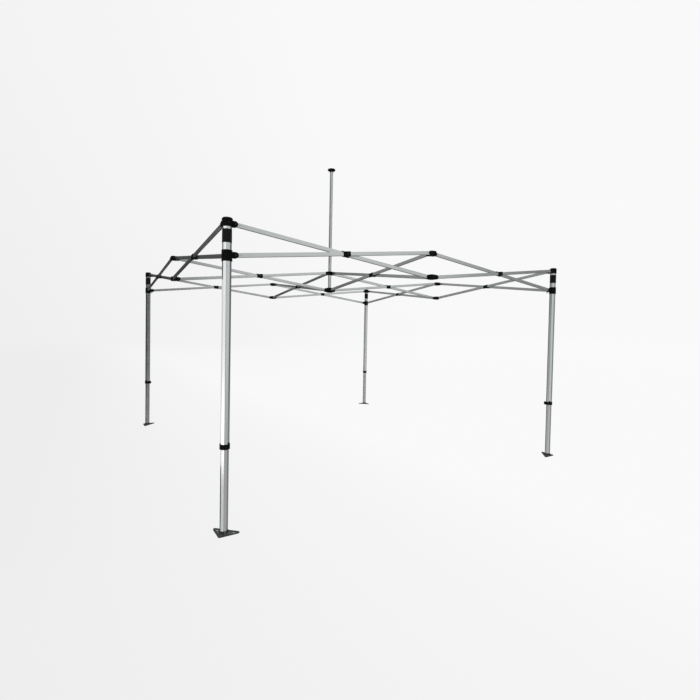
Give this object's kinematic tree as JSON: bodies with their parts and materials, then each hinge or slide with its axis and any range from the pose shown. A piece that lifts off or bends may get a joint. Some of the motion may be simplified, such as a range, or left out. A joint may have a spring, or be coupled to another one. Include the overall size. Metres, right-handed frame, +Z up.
{
  "type": "pop up canopy frame",
  "caption": "Folding square canopy frame: scissor trusses join telescoping corner legs with foot plates to hubs on a centre pole; no fabric fitted.",
  "frame": {"origin": "on the ground, at the middle of the square of four legs", "axes": "+Z up along the centre pole; +X and +Y along the sides; the front side faces -Y"},
  "size_m": [2.976, 2.976, 2.66],
  "materials": {
    "bar_aluminium": "satin",
    "leg_aluminium": "satin anodised",
    "inner_leg_aluminium": "satin anodised",
    "pole_aluminium": "satin",
    "connector_plastic": "moulded, fine grain",
    "latch_plastic": "moulded, fine grain",
    "cap_plastic": "moulded"
  },
  "bodies": {
    "upper_hub": {"upper_hub": "connector_plastic"},
    "front_inner_upper_bar": {"front_inner_upper_bar": "bar_aluminium"},
    "front_inner_lower_bar": {"front_inner_lower_bar": "bar_aluminium"},
    "front_lower_connector": {"front_lower_connector": "connector_plastic"},
    "front_upper_connector": {"front_upper_connector": "connector_plastic"},
    "lower_hub": {"lower_hub": "connector_plastic", "centre_pole": "pole_aluminium", "pole_cap": "cap_plastic"},
    "front_side_left_top_bar": {"front_side_left_top_bar": "bar_aluminium"},
    "front_side_left_slider_bar": {"front_side_left_slider_bar": "bar_aluminium"},
    "front_left_leg": {"front_left_outer_leg": "leg_aluminium", "front_left_top_bracket": "connector_plastic"},
    "front_left_inner_leg": {"front_left_inner_leg": "inner_leg_aluminium"},
    "front_left_slider": {"front_left_slider": "connector_plastic"},
    "front_left_slider_latch": {"front_left_slider_latch": "latch_plastic"},
    "front_left_collar_latch": {"front_left_collar_latch": "latch_plastic"},
    "front_side_right_top_bar": {"front_side_right_top_bar": "bar_aluminium"},
    "front_side_right_slider_bar": {"front_side_right_slider_bar": "bar_aluminium"},
    "right_inner_upper_bar": {"right_inner_upper_bar": "bar_aluminium"},
    "right_inner_lower_bar": {"right_inner_lower_bar": "bar_aluminium"},
    "right_lower_connector": {"right_lower_connector": "connector_plastic"},
    "right_upper_connector": {"right_upper_connector": "connector_plastic"},
    "right_side_front_top_bar": {"right_side_front_top_bar": "bar_aluminium"},
    "right_side_front_slider_bar": {"right_side_front_slider_bar": "bar_aluminium"},
    "front_right_leg": {"front_right_outer_leg": "leg_aluminium", "front_right_top_bracket": "connector_plastic"},
    "front_right_inner_leg": {"front_right_inner_leg": "inner_leg_aluminium"},
    "front_right_slider": {"front_right_slider": "connector_plastic"},
    "front_right_slider_latch": {"front_right_slider_latch": "latch_plastic"},
    "front_right_collar_latch": {"front_right_collar_latch": "latch_plastic"},
    "right_side_back_top_bar": {"right_side_back_top_bar": "bar_aluminium"},
    "right_side_back_slider_bar": {"right_side_back_slider_bar": "bar_aluminium"},
    "back_inner_upper_bar": {"back_inner_upper_bar": "bar_aluminium"},
    "back_inner_lower_bar": {"back_inner_lower_bar": "bar_aluminium"},
    "back_lower_connector": {"back_lower_connector": "connector_plastic"},
    "back_upper_connector": {"back_upper_connector": "connector_plastic"},
    "back_side_right_top_bar": {"back_side_right_top_bar": "bar_aluminium"},
    "back_side_right_slider_bar": {"back_side_right_slider_bar": "bar_aluminium"},
    "back_right_leg": {"back_right_outer_leg": "leg_aluminium", "back_right_top_bracket": "connector_plastic"},
    "back_right_inner_leg": {"back_right_inner_leg": "inner_leg_aluminium"},
    "back_right_slider": {"back_right_slider": "connector_plastic"},
    "back_right_slider_latch": {"back_right_slider_latch": "latch_plastic"},
    "back_right_collar_latch": {"back_right_collar_latch": "latch_plastic"},
    "back_side_left_top_bar": {"back_side_left_top_bar": "bar_aluminium"},
    "back_side_left_slider_bar": {"back_side_left_slider_bar": "bar_aluminium"},
    "left_inner_upper_bar": {"left_inner_upper_bar": "bar_aluminium"},
    "left_inner_lower_bar": {"left_inner_lower_bar": "bar_aluminium"},
    "left_lower_connector": {"left_lower_connector": "connector_plastic"},
    "left_upper_connector": {"left_upper_connector": "connector_plastic"},
    "left_side_back_top_bar": {"left_side_back_top_bar": "bar_aluminium"},
    "left_side_back_slider_bar": {"left_side_back_slider_bar": "bar_aluminium"},
    "back_left_leg": {"back_left_outer_leg": "leg_aluminium", "back_left_top_bracket": "connector_plastic"},
    "back_left_inner_leg": {"back_left_inner_leg": "inner_leg_aluminium"},
    "back_left_slider": {"back_left_slider": "connector_plastic"},
    "back_left_slider_latch": {"back_left_slider_latch": "latch_plastic"},
    "back_left_collar_latch": {"back_left_collar_latch": "latch_plastic"},
    "left_side_front_top_bar": {"left_side_front_top_bar": "bar_aluminium"},
    "left_side_front_slider_bar": {"left_side_front_slider_bar": "bar_aluminium"}
  },
  "joints": [
    {"name": "fold", "type": "hinge", "parent": "upper_hub", "child": "front_inner_upper_bar", "pos_m": [0.009, -0.036, 1.64], "axis": [1, 0, 0], "range_deg": [0, 45]},
    {"name": "front_lower_connector_turn", "type": "hinge", "parent": "front_inner_upper_bar", "child": "front_lower_connector", "pos_m": [0.009, -1.416, 1.475], "axis": [1, 0, 0], "range_deg": [-45, 0]},
    {"name": "front_inner_cross_turn", "type": "hinge", "parent": "front_inner_upper_bar", "child": "front_inner_lower_bar", "pos_m": [0, -0.726, 1.5575], "axis": [1, 0, 0], "range_deg": [-90, 0]},
    {"name": "front_upper_connector_turn", "type": "hinge", "parent": "front_inner_lower_bar", "child": "front_upper_connector", "pos_m": [-0.009, -1.416, 1.64], "axis": [1, 0, 0], "range_deg": [0, 45]},
    {"name": "lower_hub_turn", "type": "hinge", "parent": "front_inner_lower_bar", "child": "lower_hub", "pos_m": [-0.009, -0.036, 1.475], "axis": [1, 0, 0], "range_deg": [0, 45]},
    {"name": "front_side_left_bar_turn", "type": "hinge", "parent": "front_lower_connector", "child": "front_side_left_top_bar", "pos_m": [-0.028, -1.441, 1.475], "axis": [0, 1, 0], "range_deg": [0, 45]},
    {"name": "front_side_left_cross_turn", "type": "hinge", "parent": "front_side_left_top_bar", "child": "front_side_left_slider_bar", "pos_m": [-0.718, -1.45, 1.5575], "axis": [0, 1, 0], "range_deg": [-90, 0]},
    {"name": "front_left_leg_turn", "type": "hinge", "parent": "front_side_left_top_bar", "child": "front_left_leg", "pos_m": [-1.408, -1.441, 1.64], "axis": [0, 1, 0], "range_deg": [-45, 0]},
    {"name": "front_left_slider_turn", "type": "hinge", "parent": "front_side_left_slider_bar", "child": "front_left_slider", "pos_m": [-1.408, -1.459, 1.475], "axis": [0, 1, 0], "range_deg": [0, 45]},
    {"name": "front_left_leg_height", "type": "slide", "parent": "front_left_leg", "child": "front_left_inner_leg", "axis": [0, 0, 1], "range_m": [-0.42, 0.4]},
    {"name": "front_left_slider_latch_pull", "type": "slide", "parent": "front_left_slider", "child": "front_left_slider_latch", "axis": [0.7071, 0.7071, 0], "range_m": [0, 0.008], "stiffness_N_per_m": 600, "springref_m": -0.004},
    {"name": "front_left_collar_latch_pull", "type": "slide", "parent": "front_left_leg", "child": "front_left_collar_latch", "axis": [0.7071, 0.7071, 0], "range_m": [0, 0.008], "stiffness_N_per_m": 600, "springref_m": -0.004},
    {"name": "front_side_right_bar_turn", "type": "hinge", "parent": "front_lower_connector", "child": "front_side_right_top_bar", "pos_m": [0.028, -1.459, 1.475], "axis": [0, -1, 0], "range_deg": [0, 45]},
    {"name": "front_side_right_cross_turn", "type": "hinge", "parent": "front_side_right_top_bar", "child": "front_side_right_slider_bar", "pos_m": [0.718, -1.45, 1.5575], "axis": [0, -1, 0], "range_deg": [-90, 0]},
    {"name": "right_inner_upper_turn", "type": "hinge", "parent": "upper_hub", "child": "right_inner_upper_bar", "pos_m": [0.036, 0.009, 1.64], "axis": [0, 1, 0], "range_deg": [0, 45]},
    {"name": "right_lower_connector_turn", "type": "hinge", "parent": "right_inner_upper_bar", "child": "right_lower_connector", "pos_m": [1.416, 0.009, 1.475], "axis": [0, 1, 0], "range_deg": [-45, 0]},
    {"name": "right_inner_cross_turn", "type": "hinge", "parent": "right_inner_upper_bar", "child": "right_inner_lower_bar", "pos_m": [0.726, 0, 1.5575], "axis": [0, 1, 0], "range_deg": [-90, 0]},
    {"name": "right_upper_connector_turn", "type": "hinge", "parent": "right_inner_lower_bar", "child": "right_upper_connector", "pos_m": [1.416, -0.009, 1.64], "axis": [0, 1, 0], "range_deg": [0, 45]},
    {"name": "right_side_front_bar_turn", "type": "hinge", "parent": "right_lower_connector", "child": "right_side_front_top_bar", "pos_m": [1.441, -0.028, 1.475], "axis": [-1, 0, 0], "range_deg": [0, 45]},
    {"name": "right_side_front_cross_turn", "type": "hinge", "parent": "right_side_front_top_bar", "child": "right_side_front_slider_bar", "pos_m": [1.45, -0.718, 1.5575], "axis": [-1, 0, 0], "range_deg": [-90, 0]},
    {"name": "front_right_leg_turn", "type": "hinge", "parent": "right_side_front_top_bar", "child": "front_right_leg", "pos_m": [1.441, -1.408, 1.64], "axis": [-1, 0, 0], "range_deg": [-45, 0]},
    {"name": "front_right_slider_turn", "type": "hinge", "parent": "right_side_front_slider_bar", "child": "front_right_slider", "pos_m": [1.459, -1.408, 1.475], "axis": [-1, 0, 0], "range_deg": [0, 45]},
    {"name": "front_right_leg_height", "type": "slide", "parent": "front_right_leg", "child": "front_right_inner_leg", "axis": [0, 0, 1], "range_m": [-0.42, 0.4]},
    {"name": "front_right_slider_latch_pull", "type": "slide", "parent": "front_right_slider", "child": "front_right_slider_latch", "axis": [-0.7071, 0.7071, 0], "range_m": [0, 0.008], "stiffness_N_per_m": 600, "springref_m": -0.004},
    {"name": "front_right_collar_latch_pull", "type": "slide", "parent": "front_right_leg", "child": "front_right_collar_latch", "axis": [-0.7071, 0.7071, 0], "range_m": [0, 0.008], "stiffness_N_per_m": 600, "springref_m": -0.004},
    {"name": "right_side_back_bar_turn", "type": "hinge", "parent": "right_lower_connector", "child": "right_side_back_top_bar", "pos_m": [1.459, 0.028, 1.475], "axis": [1, 0, 0], "range_deg": [0, 45]},
    {"name": "right_side_back_cross_turn", "type": "hinge", "parent": "right_side_back_top_bar", "child": "right_side_back_slider_bar", "pos_m": [1.45, 0.718, 1.5575], "axis": [1, 0, 0], "range_deg": [-90, 0]},
    {"name": "back_inner_upper_turn", "type": "hinge", "parent": "upper_hub", "child": "back_inner_upper_bar", "pos_m": [-0.009, 0.036, 1.64], "axis": [-1, 0, 0], "range_deg": [0, 45]},
    {"name": "back_lower_connector_turn", "type": "hinge", "parent": "back_inner_upper_bar", "child": "back_lower_connector", "pos_m": [-0.009, 1.416, 1.475], "axis": [-1, 0, 0], "range_deg": [-45, 0]},
    {"name": "back_inner_cross_turn", "type": "hinge", "parent": "back_inner_upper_bar", "child": "back_inner_lower_bar", "pos_m": [0, 0.726, 1.5575], "axis": [-1, 0, 0], "range_deg": [-90, 0]},
    {"name": "back_upper_connector_turn", "type": "hinge", "parent": "back_inner_lower_bar", "child": "back_upper_connector", "pos_m": [0.009, 1.416, 1.64], "axis": [-1, 0, 0], "range_deg": [0, 45]},
    {"name": "back_side_right_bar_turn", "type": "hinge", "parent": "back_lower_connector", "child": "back_side_right_top_bar", "pos_m": [0.028, 1.441, 1.475], "axis": [0, -1, 0], "range_deg": [0, 45]},
    {"name": "back_side_right_cross_turn", "type": "hinge", "parent": "back_side_right_top_bar", "child": "back_side_right_slider_bar", "pos_m": [0.718, 1.45, 1.5575], "axis": [0, -1, 0], "range_deg": [-90, 0]},
    {"name": "back_right_leg_turn", "type": "hinge", "parent": "back_side_right_top_bar", "child": "back_right_leg", "pos_m": [1.408, 1.441, 1.64], "axis": [0, -1, 0], "range_deg": [-45, 0]},
    {"name": "back_right_slider_turn", "type": "hinge", "parent": "back_side_right_slider_bar", "child": "back_right_slider", "pos_m": [1.408, 1.459, 1.475], "axis": [0, -1, 0], "range_deg": [0, 45]},
    {"name": "back_right_leg_height", "type": "slide", "parent": "back_right_leg", "child": "back_right_inner_leg", "axis": [0, 0, 1], "range_m": [-0.42, 0.4]},
    {"name": "back_right_slider_latch_pull", "type": "slide", "parent": "back_right_slider", "child": "back_right_slider_latch", "axis": [-0.7071, -0.7071, 0], "range_m": [0, 0.008], "stiffness_N_per_m": 600, "springref_m": -0.004},
    {"name": "back_right_collar_latch_pull", "type": "slide", "parent": "back_right_leg", "child": "back_right_collar_latch", "axis": [-0.7071, -0.7071, 0], "range_m": [0, 0.008], "stiffness_N_per_m": 600, "springref_m": -0.004},
    {"name": "back_side_left_bar_turn", "type": "hinge", "parent": "back_lower_connector", "child": "back_side_left_top_bar", "pos_m": [-0.028, 1.459, 1.475], "axis": [0, 1, 0], "range_deg": [0, 45]},
    {"name": "back_side_left_cross_turn", "type": "hinge", "parent": "back_side_left_top_bar", "child": "back_side_left_slider_bar", "pos_m": [-0.718, 1.45, 1.5575], "axis": [0, 1, 0], "range_deg": [-90, 0]},
    {"name": "left_inner_upper_turn", "type": "hinge", "parent": "upper_hub", "child": "left_inner_upper_bar", "pos_m": [-0.036, -0.009, 1.64], "axis": [0, -1, 0], "range_deg": [0, 45]},
    {"name": "left_lower_connector_turn", "type": "hinge", "parent": "left_inner_upper_bar", "child": "left_lower_connector", "pos_m": [-1.416, -0.009, 1.475], "axis": [0, -1, 0], "range_deg": [-45, 0]},
    {"name": "left_inner_cross_turn", "type": "hinge", "parent": "left_inner_upper_bar", "child": "left_inner_lower_bar", "pos_m": [-0.726, 0, 1.5575], "axis": [0, -1, 0], "range_deg": [-90, 0]},
    {"name": "left_upper_connector_turn", "type": "hinge", "parent": "left_inner_lower_bar", "child": "left_upper_connector", "pos_m": [-1.416, 0.009, 1.64], "axis": [0, -1, 0], "range_deg": [0, 45]},
    {"name": "left_side_back_bar_turn", "type": "hinge", "parent": "left_lower_connector", "child": "left_side_back_top_bar", "pos_m": [-1.441, 0.028, 1.475], "axis": [1, 0, 0], "range_deg": [0, 45]},
    {"name": "left_side_back_cross_turn", "type": "hinge", "parent": "left_side_back_top_bar", "child": "left_side_back_slider_bar", "pos_m": [-1.45, 0.718, 1.5575], "axis": [1, 0, 0], "range_deg": [-90, 0]},
    {"name": "back_left_leg_turn", "type": "hinge", "parent": "left_side_back_top_bar", "child": "back_left_leg", "pos_m": [-1.441, 1.408, 1.64], "axis": [1, 0, 0], "range_deg": [-45, 0]},
    {"name": "back_left_slider_turn", "type": "hinge", "parent": "left_side_back_slider_bar", "child": "back_left_slider", "pos_m": [-1.459, 1.408, 1.475], "axis": [1, 0, 0], "range_deg": [0, 45]},
    {"name": "back_left_leg_height", "type": "slide", "parent": "back_left_leg", "child": "back_left_inner_leg", "axis": [0, 0, 1], "range_m": [-0.42, 0.4]},
    {"name": "back_left_slider_latch_pull", "type": "slide", "parent": "back_left_slider", "child": "back_left_slider_latch", "axis": [0.7071, -0.7071, 0], "range_m": [0, 0.008], "stiffness_N_per_m": 600, "springref_m": -0.004},
    {"name": "back_left_collar_latch_pull", "type": "slide", "parent": "back_left_leg", "child": "back_left_collar_latch", "axis": [0.7071, -0.7071, 0], "range_m": [0, 0.008], "stiffness_N_per_m": 600, "springref_m": -0.004},
    {"name": "left_side_front_bar_turn", "type": "hinge", "parent": "left_lower_connector", "child": "left_side_front_top_bar", "pos_m": [-1.459, -0.028, 1.475], "axis": [-1, 0, 0], "range_deg": [0, 45]},
    {"name": "left_side_front_cross_turn", "type": "hinge", "parent": "left_side_front_top_bar", "child": "left_side_front_slider_bar", "pos_m": [-1.45, -0.718, 1.5575], "axis": [-1, 0, 0], "range_deg": [-90, 0]}
  ],
  "couplings": [
    {"joint": "front_lower_connector_turn", "follows": "fold", "ratio": -1},
    {"joint": "front_inner_cross_turn", "follows": "fold", "ratio": -2},
    {"joint": "front_upper_connector_turn", "follows": "fold", "ratio": 1},
    {"joint": "lower_hub_turn", "follows": "fold", "ratio": 1},
    {"joint": "front_side_left_bar_turn", "follows": "fold", "ratio": 1},
    {"joint": "front_side_left_cross_turn", "follows": "fold", "ratio": -2},
    {"joint": "front_left_leg_turn", "follows": "fold", "ratio": -1},
    {"joint": "front_left_slider_turn", "follows": "fold", "ratio": 1},
    {"joint": "front_side_right_bar_turn", "follows": "fold", "ratio": 1},
    {"joint": "front_side_right_cross_turn", "follows": "fold", "ratio": -2},
    {"joint": "right_inner_upper_turn", "follows": "fold", "ratio": 1},
    {"joint": "right_lower_connector_turn", "follows": "fold", "ratio": -1},
    {"joint": "right_inner_cross_turn", "follows": "fold", "ratio": -2},
    {"joint": "right_upper_connector_turn", "follows": "fold", "ratio": 1},
    {"joint": "right_side_front_bar_turn", "follows": "fold", "ratio": 1},
    {"joint": "right_side_front_cross_turn", "follows": "fold", "ratio": -2},
    {"joint": "front_right_leg_turn", "follows": "fold", "ratio": -1},
    {"joint": "front_right_slider_turn", "follows": "fold", "ratio": 1},
    {"joint": "right_side_back_bar_turn", "follows": "fold", "ratio": 1},
    {"joint": "right_side_back_cross_turn", "follows": "fold", "ratio": -2},
    {"joint": "back_inner_upper_turn", "follows": "fold", "ratio": 1},
    {"joint": "back_lower_connector_turn", "follows": "fold", "ratio": -1},
    {"joint": "back_inner_cross_turn", "follows": "fold", "ratio": -2},
    {"joint": "back_upper_connector_turn", "follows": "fold", "ratio": 1},
    {"joint": "back_side_right_bar_turn", "follows": "fold", "ratio": 1},
    {"joint": "back_side_right_cross_turn", "follows": "fold", "ratio": -2},
    {"joint": "back_right_leg_turn", "follows": "fold", "ratio": -1},
    {"joint": "back_right_slider_turn", "follows": "fold", "ratio": 1},
    {"joint": "back_side_left_bar_turn", "follows": "fold", "ratio": 1},
    {"joint": "back_side_left_cross_turn", "follows": "fold", "ratio": -2},
    {"joint": "left_inner_upper_turn", "follows": "fold", "ratio": 1},
    {"joint": "left_lower_connector_turn", "follows": "fold", "ratio": -1},
    {"joint": "left_inner_cross_turn", "follows": "fold", "ratio": -2},
    {"joint": "left_upper_connector_turn", "follows": "fold", "ratio": 1},
    {"joint": "left_side_back_bar_turn", "follows": "fold", "ratio": 1},
    {"joint": "left_side_back_cross_turn", "follows": "fold", "ratio": -2},
    {"joint": "back_left_leg_turn", "follows": "fold", "ratio": -1},
    {"joint": "back_left_slider_turn", "follows": "fold", "ratio": 1},
    {"joint": "left_side_front_bar_turn", "follows": "fold", "ratio": 1},
    {"joint": "left_side_front_cross_turn", "follows": "fold", "ratio": -2}
  ]
}
